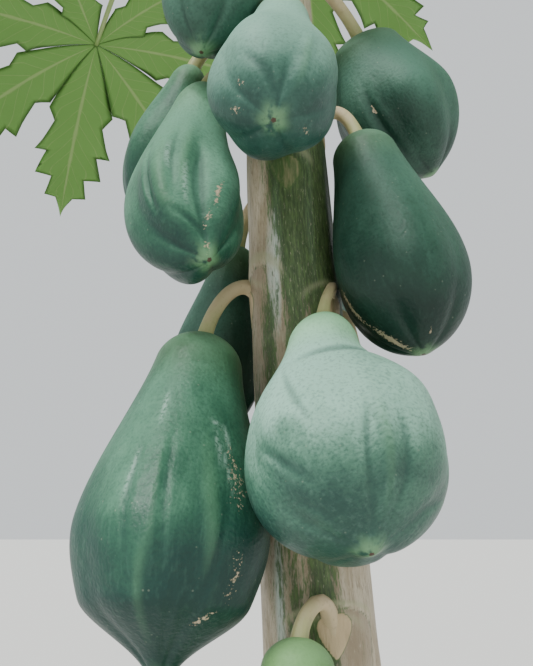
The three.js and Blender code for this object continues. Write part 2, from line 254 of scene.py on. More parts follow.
# Where each fruit hangs, in the CAD's own values. The bark needs them for the shield under each stalk.
# Bearing and height are where the stalk leaves the trunk, and rise is how far it climbs. Top and tip are
# the fruit's neck and its blossom end, and bow moves the middle between them. Neck is the neck's share of
# the width and belly the share of the length where the fruit is widest. Blunt is the power that rounds
# its end, lobes the depth of its five lobes and turn their angle.
FRUIT_KEYS = ("bearing", "height", "top", "tip", "bow",
              "width", "neck", "belly", "blunt", "lobes", "turn", "rise")
FRUITS = {
    "fruit_front": (48, 1.474, (-0.042, -0.074, 1.448), (-0.020, -0.172, 1.264), (-0.002, -0.004, -0.034),
                    0.152, 0.38, 0.60, 0.52, 0.025, 10, 0.026),
    "fruit_low_left": (-85, 1.485, (-0.146, -0.035, 1.440), (-0.171, -0.095, 1.164), (-0.008, 0, 0),
                       0.162, 0.44, 0.68, 0.54, 0.025, 0, 0.026),
    "fruit_top_centre": (0, 1.790, (-0.074, -0.062, 1.752), (-0.085, -0.176, 1.580), (-0.007, 0, -0.034),
                         0.109, 0.44, 0.60, 0.52, 0.04, 20, 0.026),
    "fruit_top_left": (-75, 1.935, (-0.122, -0.028, 1.908), (-0.149, -0.084, 1.694), (0, 0, 0),
                       0.095, 0.45, 0.66, 0.58, 0.03, 0, 0.026),
    "fruit_left": (-60, 1.704, (-0.149, -0.026, 1.690), (-0.138, -0.128, 1.484), (-0.036, 0.004, -0.058),
                   0.102, 0.44, 0.54, 0.60, 0.07, 30, 0.014),
    "fruit_left_behind": (-110, 1.755, (-0.166, 0.022, 1.740), (-0.214, 0.042, 1.575), (-0.006, 0, 0),
                          0.080, 0.42, 0.60, 0.60, 0.05, 0, 0.026),
    "fruit_right": (80, 1.660, (-0.001, -0.015, 1.642), (0.045, -0.060, 1.420), (0.004, 0, 0),
                    0.119, 0.50, 0.66, 0.56, 0.03, 0, 0.026),
    "fruit_bottom": (8, 1.188, (-0.065, -0.078, 1.190), (-0.077, -0.122, 0.995), (0, -0.004, 0),
                     0.105, 0.50, 0.60, 0.56, 0.03, 0, 0.044),
    "fruit_dark_behind": (-145, 1.590, (-0.120, 0.052, 1.554), (-0.154, 0.092, 1.357), (0, 0.004, 0),
                          0.095, 0.45, 0.62, 0.56, 0.03, 0, 0.026),
    "fruit_right_behind": (120, 1.462, (-0.005, 0.025, 1.436), (0.022, 0.050, 1.272), (0.002, 0.004, 0),
                           0.090, 0.42, 0.60, 0.56, 0.03, 0, 0.026),
    "fruit_top_right": (115, 1.830, (0.009, 0.042, 1.786), (0.087, 0.068, 1.640), (-0.006, 0, 0),
                        0.128, 0.56, 0.52, 0.56, 0.07, 30, 0.026),
}
fruits = {name: dict(zip(FRUIT_KEYS, values)) for name, values in FRUITS.items()}

# Far and young fruits: bearing, height and length of each far one, and the rule for the young ones.
STALK_DROP = 0.014
BARK_CLEARANCE = 0.007
FAR_FRUITS = ((182, 1.855, 0.175), (172, 1.650, 0.200), (185, 1.425, 0.205), (172, 1.190, 0.190))
YOUNG_COUNT = 8
YOUNG_BEARING, YOUNG_START, YOUNG_SPACING = 48, 1.985, 0.026
YOUNG_LONG, YOUNG_SHORT = 0.135, 0.062


def hanging(bearing, height, length):
    """A fruit that hangs beside the trunk, half as wide as long, its belly just clear of the bark."""
    width = 0.5 * length
    top_height = height - STALK_DROP
    away = trunk_radius(top_height - 0.6 * length) + width / 2 + BARK_CLEARANCE
    return {
        "bearing": bearing, "height": height, "width": width, "bow": (0, 0, 0), "neck": 0.42,
        "belly": 0.6, "blunt": 0.56, "lobes": 0.03, "turn": 0, "rise": 0.026,
        "top": axis_at(top_height) + outward(bearing) * away * 0.92,
        "tip": axis_at(top_height - length) + outward(bearing) * away * 1.08,
    }


for index, (bearing, height, length) in enumerate(FAR_FRUITS):
    fruits[f"fruit_far_{index + 1:02d}"] = hanging(bearing, height, length)
for index in range(YOUNG_COUNT):
    length = YOUNG_LONG + (YOUNG_SHORT - YOUNG_LONG) * index / (YOUNG_COUNT - 1)
    young = hanging(YOUNG_BEARING + GOLDEN_ANGLE * index, YOUNG_START + YOUNG_SPACING * index, length)
    fruits[f"fruit_young_{index + 1:02d}"] = young

trunk_z = np.concatenate([np.linspace(low, high, count, endpoint=high == TRUNK_HEIGHT)
                          for low, high, count in TRUNK_BANDS])
trunk_turn = np.linspace(0, 2 * np.pi, TRUNK_COLUMNS, endpoint=False)
bare_radius = trunk_radius(trunk_z)[:, None] + 0 * trunk_turn[None]

# A shield's bearing, height, clearness, half width and pad: one at every stalk and every old leaf.
scars = [(fruit["bearing"], fruit["height"], 0.6, 0.031, 0.7 if name != "fruit_bottom" else 0)
         for name, fruit in fruits.items()]
scars += [(-3, 1.606, 0.8, 0.022, 0.42), (-50, 1.500, 1.0, 0.020, 0), (12, 1.198, 0.9, 0.043, 1.0)]
marked = list(scars)
chance = np.random.default_rng(11)
for index in range(int((SCAR_END - SCAR_START) / SCAR_SPACING)):
    height = SCAR_START + SCAR_SPACING * index + chance.uniform(-SCAR_JITTER, SCAR_JITTER)
    bearing = 30 + GOLDEN_ANGLE * index
    # Near: within 60 degrees round the trunk and 67 mm up or down of a scar that is already marked.
    near = [other for other in marked
            if math.hypot((bearing - other[0] + 180) % 360 - 180, (height - other[1]) * 900) < 60]
    if not near:
        scars.append((bearing, height, chance.uniform(0.3, 0.8), chance.uniform(0.018, 0.027), 0))


def round_from(bearing):
    """How far round the bark each point is from a bearing, to the right of it. Angle 0 of the trunk's
    rings faces the front and turns to the right, as bearings do."""
    turned = (trunk_turn - math.radians(bearing) + np.pi) % (2 * np.pi) - np.pi
    return turned[None] * bare_radius


pads, rims, shields, brows, swelling = np.zeros((5, *bare_radius.shape))
for bearing, height, clear, wide, pad in scars:
    across = round_from(bearing)
    down = (height + SCAR_ABOVE - trunk_z)[:, None]
    part = (down - PAD_BELOW) / PAD_LENGTH
    round_top = np.sqrt(np.clip(1 - ((part - PAD_WIDEST) / 0.31) ** 2, 0, 1))
    point = np.clip(1 - np.clip((part - PAD_WIDEST) / 0.72, 0, 1) ** 1.7, 0, 1)
    half = PAD_WIDTH * np.where(part < PAD_WIDEST, round_top, point)
    within = smooth(half - np.abs(across), -0.001, 0.003) * (part > -0.05) * (part < 1.02)
    pads = np.maximum(pads, pad * within)
    narrowing = wide * (1 - SHIELD_NARROWING * np.clip((down - SHIELD_DROP) / SHIELD_LENGTH, 0, 1))
    inner = narrowing - np.hypot(across, wide * np.clip(1 - down / SHIELD_DROP, 0, None))
    fading = smooth(-down, -SHIELD_LENGTH, -0.3 * SHIELD_LENGTH)
    rims = np.maximum(rims, clear * np.exp(-((inner - RIM_INSIDE) / RIM_WIDTH) ** 2) * fading)
    shields = np.maximum(shields, clear * smooth(inner, 0, 0.004) * fading)
    over = np.exp(-((inner + BROW_OUTSIDE) / BROW_WIDTH) ** 2) * smooth(-down, -0.9 * SHIELD_DROP, 0)
    brows = np.maximum(brows, clear * over)
    swelling += np.exp(-(down / SWELLING_TALL) ** 2 - (across / SWELLING_WIDE) ** 2) * SWELLING * clear

foot_lobes = FOOT_LOBE_DEPTH * np.cos(FOOT_LOBES * trunk_turn + 0.6)[None]
foot = 1 + foot_lobes * np.exp(-trunk_z / FOOT_LOBE_HEIGHT)[:, None]
shifting = np.cos(12 * trunk_turn)[None] * np.sin(trunk_z * 21)[:, None]
fluting = FLUTE_DEPTH * (np.cos(7 * trunk_turn + 1)[None] + shifting)
relief = PAD_RAISED * pads - RIM_SUNK * rims + BROW_RAISED * brows
bark_radius = bare_radius * foot + swelling + relief + fluting
closing = np.sqrt(np.clip((TRUNK_HEIGHT - trunk_z) / TIP_ROUNDING, 0, 1))
bark_radius = bark_radius * (TIP_END + (1 - TIP_END) * closing[:, None])
trunk_rings = rings_round(axis_at(trunk_z), bark_radius, np.array([0.0, -1.0, 0.0]))
trunk_rings[0, :, 2] = 0

# Broad patches of the bark's front: bearing, height, half width, half height, greener and more silvery.
TINTS = (
    (28, 1.545, 0.026, 0.100, 0.30, 0.0), (75, 1.600, 0.016, 0.120, 0.16, 0.0),
    (-27, 1.520, 0.009, 0.085, 0.0, 0.26), (-58, 1.560, 0.014, 0.090, -0.25, 0.0),
    (16, 1.655, 0.018, 0.045, 0.0, 0.20), (-42, 1.400, 0.010, 0.080, 0.24, 0.0),
    (-24, 1.190, 0.010, 0.110, 0.16, 0.0), (8, 1.215, 0.014, 0.090, 0.17, 0.0),
    (-42, 1.200, 0.006, 0.090, 0.0, 0.24), (45, 1.160, 0.028, 0.130, -0.25, 0.0),
    (-68, 1.200, 0.014, 0.130, -0.25, 0.0),
)
greener, silvery = np.zeros((2, *bare_radius.shape))
for bearing, height, half, tall, green, silver in TINTS:
    patch = np.exp(-(round_from(bearing) / half) ** 2 - ((trunk_z[:, None] - height) / tall) ** 4)
    greener += green * patch
    silvery += silver * patch

# The bark's noise is read on a straight tube, so that its streaks follow the trunk's bow.
TUBE_RADIUS = 0.05
bark_map = np.stack([TUBE_RADIUS * np.cos(trunk_turn)[None] + 0 * bare_radius,
                     TUBE_RADIUS * np.sin(trunk_turn)[None] + 0 * bare_radius,
                     trunk_z[:, None] + 0 * bare_radius], -1)
trunk_marks = {"bark": bark_map, "pad": pads, "rim": rims, "shield": shields, "brow": brows,
               "greener": greener, "silvery": silvery}
trunk = closed_mesh("trunk_bark", trunk_rings, trunk_marks)

BARK_TAN = (0.40, 0.32, 0.21, 1)
BARK_PALE = (0.58, 0.50, 0.37, 1)
BARK_BROWN = (0.17, 0.12, 0.07, 1)
BARK_GREEN = (0.022, 0.066, 0.014, 1)
BARK_LEAF_GREEN = (0.075, 0.155, 0.035, 1)
BARK_SILVER = (0.62, 0.72, 0.66, 1)
PAD_TAN = (0.62, 0.47, 0.28, 1)
PAD_BROWN = (0.46, 0.34, 0.20, 1)
SHIELD_BROWN = (0.27, 0.2, 0.125, 1)
BROW_OLIVE = (0.42, 0.42, 0.25, 1)
YOUNG_GREEN = (0.19, 0.30, 0.09, 1)
BARK_ROUGHNESS = 0.55
BARK_RELIEF = 0.0012
bark, tree, shader = fresh_finish("bark")
place = mark_of(tree, "bark", "Vector")
up_trunk = put(tree, "ShaderNodeSeparateXYZ", {0: place}).outputs[2]
patches = grain(tree, place, 1.0, 2.0, (27, 27, 3.4), 0.5)
streaks = grain(tree, place, 1.0, 2.0, (40, 40, 2.4), 0.5)
bands = grain(tree, place, 1.0, 4.0, (90, 90, 20), 0.62)
fibres = grain(tree, place, 1.0, 4.0, (440, 440, 75), 0.68)
dashes = grain(tree, place, 1.0, 3.0, (640, 640, 150), 0.6)
# The ground of tan bark, darker between the fibres and in the shields, then silver and green streaks.
colour = mixed(tree, stepped(tree, bands, 0.35, 0.65), BARK_TAN, BARK_PALE)
colour = laid(tree, colour, BARK_BROWN, fibres, 0.50, 0.34, 0.55)
worn = times(tree, mark_of(tree, "shield"), stepped(tree, fibres, 0.2, 0.55))
colour = laid(tree, colour, SHIELD_BROWN, worn, 0.1, 0.9, 0.6)
silver = plus(tree, plus(tree, streaks, fibres, 0.12), mark_of(tree, "silvery"))
colour = laid(tree, colour, BARK_SILVER, silver, 0.60, 0.80, 0.9)
frayed = plus(tree, plus(tree, patches, bands, 0.22), fibres, 0.55)
frayed = plus(tree, frayed, mark_of(tree, "greener"))
greens = mixed(tree, stepped(tree, fibres, 0.42, 0.64), BARK_GREEN, BARK_LEAF_GREEN)
colour = laid(tree, colour, greens, frayed, 0.85, 0.99, 0.92)
colour = laid(tree, colour, BARK_PALE, dashes, 0.60, 0.72, 0.5)
colour = laid(tree, colour, BARK_BROWN, dashes, 0.40, 0.28, 0.5)
colour = laid(tree, colour, YOUNG_GREEN, up_trunk, 1.85, 2.35, 0.8)
# The brow over a scar, the broken green rim of its shield, and the tan pad with a green edge.
colour = laid(tree, colour, BROW_OLIVE, mark_of(tree, "brow"), 0.1, 0.9, 0.55)
broken = times(tree, stepped(tree, dashes, 0.38, 0.56), stepped(tree, bands, 0.3, 0.6))
colour = laid(tree, colour, greens, times(tree, mark_of(tree, "rim"), broken), 0.1, 0.8, 0.8)
pad = plus(tree, mark_of(tree, "pad"), bands, 0.9)
colour = laid(tree, colour, BARK_LEAF_GREEN, pad, 0.6, 0.8, 0.6)
pad_colour = mixed(tree, stepped(tree, bands, 0.3, 0.6), PAD_BROWN, PAD_TAN)
colour = laid(tree, colour, pad_colour, pad, 0.8, 1.2, 0.95)
tree.links.new(colour, shader.inputs["Base Color"])
shader.inputs["Roughness"].default_value = BARK_ROUGHNESS
rough = {"Height": plus(tree, fibres, dashes), "Strength": 0.55, "Distance": BARK_RELIEF}
bump = put(tree, "ShaderNodeBump", rough)
tree.links.new(bump.outputs[0], shader.inputs["Normal"])
trunk.data.materials.append(bark)
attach(trunk, "root")
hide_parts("trunk")

# Fruit skins
# Each fruit is a firm green berry, pear-shaped, with five soft lobes whose creases meet at the blossom
# end. The waxy skin has a pale bloom, runs of dried latex, pores and small corky specks. Its colour
# also holds painted light: lighter where it faces up, darker where it faces down, painted shade in its
# creases and a painted highlight on its ridges.
CREASE_SHALLOW, CREASE_DEEP = 0.012, 0.08
UNEVEN, WAVE_COUNT = 0.009, 9
PATH_STEPS = 36
# Rings, and points to a ring: of a fruit with marks of its own, of a plain one and of a young one.
DRAWN_GRID, PLAIN_GRID, YOUNG_GRID = (150, 180), (90, 110), (60, 80)


def curve_through(controls, share):
    """A Bezier curve: neighbouring control points are blended by share until one is left."""
    points = [np.asarray(control, float)[None] + 0 * share[:, None] for control in controls]
    while len(points) > 1:
        points = [a + (b - a) * share[:, None] for a, b in zip(points, points[1:])]
    return points[0]


def fruit_spine(fruit, share):
    """From the neck to the blossom end, drawn towards the middle moved by bow."""
    top, tip = np.array(fruit["top"], float), np.array(fruit["tip"], float)
    return curve_through([top, (top + tip) / 2 + np.array(fruit["bow"]), tip], share)


def fruit_radius(fruit, detail, share, turn, rng):
    """Half the width, times a round cap at the neck, an S-shaped swelling to the belly and a round end,
    less the shares that slim takes off below the belly and at the end, times the five lobes; creases cut
    in between the lobes near the end, and slow waves make it uneven."""
    past = np.clip((share - fruit["belly"]) / (1 - fruit["belly"]), 0, 1)
    cap = np.sqrt(1 - (1 - np.clip(share / 0.1, 0, 1)) ** 2)
    body = fruit["neck"] + (1 - fruit["neck"]) * smooth(share, 0, fruit["belly"])
    plain = fruit["width"] / 2 * cap * body * (1 - past ** 2) ** fruit["blunt"]
    low, end = detail.get("slim", (0, 0))
    plain = plain * (1 - low * smooth(share, 0.6, 0.8) - end * smooth(share, 0.82, 1.0))
    phase = 5 * (turn - math.radians(fruit["turn"]))
    lobes = fruit["lobes"] * smooth(share, 0.15, 0.6)[:, None] * np.cos(phase)[None]
    crease = np.abs(np.cos((phase - np.pi) / 2)) ** 14
    depth = CREASE_SHALLOW * smooth(share, 0.35, 0.7) + CREASE_DEEP * smooth(share, 0.78, 0.99)
    waves = np.zeros((share.size, turn.size))
    for _ in range(WAVE_COUNT):
        across, along = rng.integers(1, 6), rng.uniform(0.5, 3.5)
        start, lift = rng.uniform(0, 2 * np.pi, 2)
        waves += np.cos(across * turn + start)[None] * np.cos(along * np.pi * share + lift)[:, None] / across
    uneven = UNEVEN * waves * smooth(share, 0.08, 0.3)[:, None] * smooth(-share, -1, -0.85)[:, None]
    return plain[:, None] * (1 + lobes - depth[:, None] * crease[None] + uneven)


def drawn(radius, share, turn, length, width, points):
    """How near the skin is to a curve through points of (turn in degrees, share): 1 on the curve, falling
    by the square of the distance over the width, and fading out towards both ends of the curve."""
    step = np.linspace(0, 1, PATH_STEPS)
    path = curve_through(points, step)
    fade = np.sin(np.pi * np.clip(step, 0.04, 0.96)) ** 0.6
    aside = np.radians((np.degrees(turn)[None] - path[:, :1] + 180) % 360 - 180)
    aside = aside[:, None, :] * radius[None]
    along = (share[None] - path[:, 1:]) * length
    near = np.exp(-(aside ** 2 + along[..., None] ** 2) / width ** 2)
    return (near * fade[:, None, None]).max(0)


def facing_up(rings):
    """From 0 where the skin faces down to 1 where it faces up: the height of its unit normal, smoothed."""
    round_it = np.roll(rings, -1, axis=1) - np.roll(rings, 1, axis=1)
    normal = np.cross(round_it, np.gradient(rings, axis=0))
    level = normal[..., 2] / np.maximum(np.linalg.norm(normal, axis=2), 1e-12)
    return smooth(level, -0.75, 0.95)


LATEX_WHITE = (0.45, 0.62, 0.54, 1)
PORE_GREY = (0.42, 0.45, 0.34, 1)
RIDGE_HIGHLIGHT_GREEN = (0.16, 0.35, 0.18, 1)
CORK_TAN = (0.46, 0.37, 0.25, 1)
END_GREEN = (0.22, 0.42, 0.20, 1)
BLOSSOM_BROWN = (0.07, 0.04, 0.025, 1)
SKIN_SHEEN = 0.32
SKIN_ROUGHNESS, BLOOM_ROUGHNESS = 0.42, 0.16
SKIN_LUMPS, SKIN_RELIEF = 0.0016, 0.0009


def skin_finish(name, deep, mid, bloom, bloom_share, neck, neck_share, mottling):
    """The waxy skin with painted top light: deep green as painted shade where it faces down, mid green and a
    mottled bloom as painted light where it faces up, then the neck's yellower green, latex runs, pores,
    folds painted as shade in the grooves and a highlight on the ridges, corky specks and the brown dot
    at the blossom end."""
    finish, tree, shader = fresh_finish(name)
    place = mark_of(tree, "skin", "Vector")
    haze = grain(tree, place, 1.0, 4.0, (24, 24, 13), 0.55)
    fibres = grain(tree, place, 1.0, 3.0, (260, 260, 22))
    mottle = grain(tree, place, 380, 3.0)
    # cover is painted top light with the skin's own haze and mottling: deep green is painted shade where it
    # is low, and mid green and the bloom are painted light where it is high.
    cover = plus(tree, plus(tree, mark_of(tree, "wax"), haze), mottle, mottling)
    colour = mixed(tree, stepped(tree, cover, 0.52, 1.28), deep, mid)
    colour = laid(tree, colour, bloom, cover, 0.95, 1.75, bloom_share)
    colour = laid(tree, colour, bloom, fibres, 0.5, 0.72, 0.05)
    colour = laid(tree, colour, deep, mottle, 0.5, 0.32, 0.7 * mottling)
    colour = laid(tree, colour, neck, mark_of(tree, "down"), 0.26, 0.0, neck_share)
    runs = times(tree, mark_of(tree, "latex"), stepped(tree, mottle, 0.34, 0.56, 0.6))
    colour = mixed(tree, runs, colour, LATEX_WHITE)
    # A pore is the middle of a small cell, and only few cells have one.
    cells = put(tree, "ShaderNodeTexVoronoi", {"Vector": place, "Scale": 260})
    lot = put(tree, "ShaderNodeSeparateXYZ", {0: cells.outputs["Color"]}).outputs[0]
    middle = stepped(tree, cells.outputs["Distance"], 0.28, 0.12, 0.18)
    colour = mixed(tree, times(tree, middle, stepped(tree, lot, 0.93, 0.96)), colour, PORE_GREY)
    fold = mark_of(tree, "fold")
    # Painted shade in the grooves, in deep green, and a painted highlight on the ridges, in a lighter green.
    colour = laid(tree, colour, deep, fold, -0.1, -0.9, 0.5)
    colour = laid(tree, colour, RIDGE_HIGHLIGHT_GREEN, fold, 0.2, 1.0, 0.2)
    cork_mark = mark_of(tree, "cork")
    cork_grain = times(tree, grain(tree, place, 420, 4.0), 2.2)
    cork = stepped(tree, plus(tree, cork_grain, cork_mark, 1.1), 1.58, 1.78)
    colour = mixed(tree, times(tree, cork, stepped(tree, cork_mark, 0.05, 0.2)), colour, CORK_TAN)
    end = mark_of(tree, "end")
    patchy = times(tree, end, stepped(tree, grain(tree, place, 90, 3.0), 0.25, 0.5))
    colour = laid(tree, colour, END_GREEN, patchy, 0.1, 1.0, 0.6)
    colour = laid(tree, colour, BLOSSOM_BROWN, end, 0.962, 0.985)
    tree.links.new(colour, shader.inputs["Base Color"])
    matter = stepped(tree, cover, 0.75, 1.6, BLOOM_ROUGHNESS)
    tree.links.new(plus(tree, matter, SKIN_ROUGHNESS), shader.inputs["Roughness"])
    shader.inputs["Specular IOR Level"].default_value = SKIN_SHEEN
    rough = plus(tree, plus(tree, times(tree, mottle, 0.7), cork, 2.0), fibres, 0.5)
    lumps = {"Height": grain(tree, place, 95, 2.0), "Strength": 0.5, "Distance": SKIN_LUMPS}
    lumps = put(tree, "ShaderNodeBump", lumps).outputs[0]
    fine = {"Height": rough, "Strength": 0.5, "Distance": SKIN_RELIEF, "Normal": lumps}
    tree.links.new(put(tree, "ShaderNodeBump", fine).outputs[0], shader.inputs["Normal"])
    return finish


PALE_NECK = (0.34, 0.70, 0.34, 1)
PLAIN_NECK = (0.21, 0.36, 0.16, 1)
# Each skin: deep, mid, bloom and its share, neck and its share, mottling. Deep is painted shade where
# the skin faces down, and mid and bloom are laid as painted light where it faces up.
SKIN_LOOKS = {
    "pale": ((0.018, 0.064, 0.050, 1), (0.095, 0.235, 0.155, 1), (0.44, 0.74, 0.60, 1), 0.9,
             PALE_NECK, 0.8, 0.36),
    "blue": ((0.012, 0.048, 0.038, 1), (0.058, 0.155, 0.112, 1), (0.30, 0.54, 0.43, 1), 0.75,
             PLAIN_NECK, 0.2, 0.24),
    "green": ((0.006, 0.037, 0.029, 1), (0.034, 0.120, 0.068, 1), (0.19, 0.42, 0.28, 1), 0.75,
              PLAIN_NECK, 0.3, 0.24),
    "dark": ((0.005, 0.023, 0.016, 1), (0.016, 0.060, 0.038, 1), (0.11, 0.25, 0.18, 1), 0.6,
             PLAIN_NECK, 0.25, 0.24),
    "young": ((0.04, 0.13, 0.025, 1), (0.09, 0.24, 0.05, 1), (0.25, 0.48, 0.22, 1), 0.5,
              PLAIN_NECK, 0.5, 0.24),
}
SKINS = {name: skin_finish(f"{name}_skin", *look) for name, look in SKIN_LOOKS.items()}

# What marks one fruit of the picture: its skin, its stalk's radius, its beak, which is how far the
# blossom end stands out, an offset to its painted top light, which paints the whole skin lighter or
# darker, and slim, the shares taken off below the belly and at the end. A fold or a bulge is (width,
# height, points), and a fold is also painted, as shade in a groove and a highlight on a ridge. Cork and
# latex are (strength, width, points), and a point is (turn in degrees, share of the way from the neck
# to the end).
DETAILS = {
    "fruit_front": {
        "skin": "pale", "stalk": 0.0046, "beak": 0.0075,
        "folds": (
            (0.0028, -0.0026, ((43, 0.58), (50, 0.76), (50, 0.97))),
            (0.0046, 0.0036, ((38, 0.52), (38, 0.76), (32, 0.98))),
            (0.0036, -0.0026, ((29, 0.60), (22, 0.84), (20, 0.98))),
            (0.0032, -0.0013, ((102, 0.28), (80, 0.46), (75, 0.66))),
            (0.0045, -0.0018, ((110, 0.62), (98, 0.74), (88, 0.84))),
            (0.0036, -0.0014, ((108, 0.84), (98, 0.92), (92, 0.985))),
            (0.0045, -0.0018, ((-44, 0.78), (-24, 0.93), (0, 0.99))),
            (0.0050, -0.0024, ((96, 0.27), (38, 0.225), (-30, 0.225))),
        ),
        "bulges": (
            (0.0220, -0.0085, ((60, 0.12), (5, 0.15), (-60, 0.13))),
            (0.0260, 0.0080, ((28, 0.40), (-6, 0.37), (-50, 0.38))),
            (0.0260, 0.0055, ((118, 0.30), (130, 0.34), (140, 0.42))),
            (0.0130, 0.0022, ((84, 0.55), (86, 0.57), (88, 0.59))),
        ),
    },
    "fruit_low_left": {
        "skin": "green", "beak": 0.006, "wax": -0.26, "slim": (0.07, 0.52),
        "folds": (
            (0.0028, -0.0014, ((-82, 0.36), (-84, 0.55), (-88, 0.78))),
            (0.0050, 0.0009, ((-77, 0.36), (-79, 0.55), (-82, 0.74))),
            (0.0080, 0.0014, ((-106, 0.34), (-110, 0.58), (-119, 0.88))),
            (0.0060, 0.0012, ((-78, 0.66), (-73, 0.80), (-74, 0.95))),
            (0.0040, -0.0016, ((-96, 0.80), (-93, 0.90), (-93, 0.98))),
            (0.0040, -0.0006, ((-80, 0.15), (-92, 0.14), (-104, 0.15))),
            (0.0035, -0.0010, ((-62, 0.40), (-64, 0.60), (-70, 0.85))),
            (0.0035, -0.0010, ((-122, 0.50), (-120, 0.70), (-110, 0.92))),
        ),
        "latex": (
            (0.9, 0.0018, ((-69, 0.26), (-70, 0.30), (-71, 0.36))),
            (0.9, 0.0016, ((-62, 0.44), (-63, 0.50), (-62, 0.58))),
            (0.8, 0.0014, ((-113, 0.36), (-115, 0.40), (-117, 0.47))),
            (0.9, 0.0016, ((-121, 0.34), (-123, 0.38), (-124, 0.42))),
            (0.8, 0.0012, ((-118, 0.40), (-121, 0.46), (-124, 0.54))),
            (0.9, 0.0012, ((-109, 0.33), (-114, 0.335), (-119, 0.35))),
        ),
        "cork": (
            (0.42, 0.0090, ((-122, 0.38), (-128, 0.50), (-128, 0.60))),
            (0.40, 0.0070, ((-130, 0.66), (-132, 0.76), (-131, 0.84))),
            (0.62, 0.0035, ((-126, 0.84), (-122, 0.86), (-116, 0.88))),
        ),
    },
    "fruit_top_centre": {
        "skin": "blue", "beak": 0.004, "wax": 0.16,
        "folds": (
            (0.0045, -0.0016, ((30, 0.80), (10, 0.93), (-10, 0.99))),
            (0.0045, 0.0014, ((-30, 0.60), (-28, 0.80), (-40, 0.97))),
        ),
        "cork": (
            (0.45, 0.0035, ((50, 0.87), (46, 0.89), (45, 0.91))),
            (0.50, 0.0035, ((90, 0.92), (82, 0.938), (76, 0.95))),
            (0.45, 0.0035, ((-122, 0.93), (-116, 0.946), (-112, 0.955))),
        ),
    },
    "fruit_left": {
        "skin": "green", "beak": 0.005, "wax": 0.10,
        "folds": (
            (0.0032, -0.0056, ((-24, 0.40), (-31, 0.58), (-26, 0.78))),
            (0.0080, 0.0024, ((-46, 0.40), (-44, 0.66), (-40, 0.90))),
            (0.0060, 0.0024, ((-70, 0.30), (-66, 0.55), (-62, 0.80))),
            (0.0040, -0.0020, ((-80, 0.40), (-84, 0.60), (-82, 0.85))),
            (0.0040, -0.0018, ((-40, 0.82), (-60, 0.93), (-80, 0.97))),
            (0.0040, -0.0016, ((-56, 0.34), (-55, 0.55), (-52, 0.80))),
            (0.0050, -0.0018, ((-76, 0.52), (-74, 0.72), (-80, 0.95))),
        ),
        "latex": (
            (0.9, 0.0020, ((-51, 0.44), (-51, 0.54), (-52, 0.62))),
            (0.9, 0.0020, ((-68, 0.56), (-66, 0.68), (-62, 0.82))),
        ),
        "cork": (
            (0.65, 0.0030, ((-106, 0.64), (-99, 0.76), (-98, 0.85))),
            (0.50, 0.0030, ((-96, 0.84), (-88, 0.90), (-80, 0.93))),
            (0.60, 0.0028, ((-82, 0.965), (-76, 0.985), (-70, 0.99))),
        ),
    },
    "fruit_right": {
        "skin": "dark", "beak": 0.002,
        "cork": (
            (0.85, 0.0034, ((156, 0.70), (162, 0.80), (153, 0.90))),
            (0.90, 0.0040, ((151, 0.89), (147, 0.95), (142, 0.995))),
            (0.60, 0.0020, ((68, 0.955), (70, 0.96), (72, 0.965))),
        ),
    },
    "fruit_top_left": {"skin": "dark", "beak": 0.003, "wax": 0.45},
    "fruit_left_behind": {"skin": "green"},
    "fruit_bottom": {"skin": "young", "stalk": 0.0064},
    "fruit_dark_behind": {"skin": "dark"},
    "fruit_top_right": {
        "skin": "dark", "beak": 0.003, "wax": 0.4,
        "folds": ((0.0050, -0.0040, ((150, 0.40), (156, 0.60), (150, 0.95))),),
        "cork": ((0.60, 0.0022, ((152, 0.50), (152, 0.54), (152, 0.58))),),
    },
}

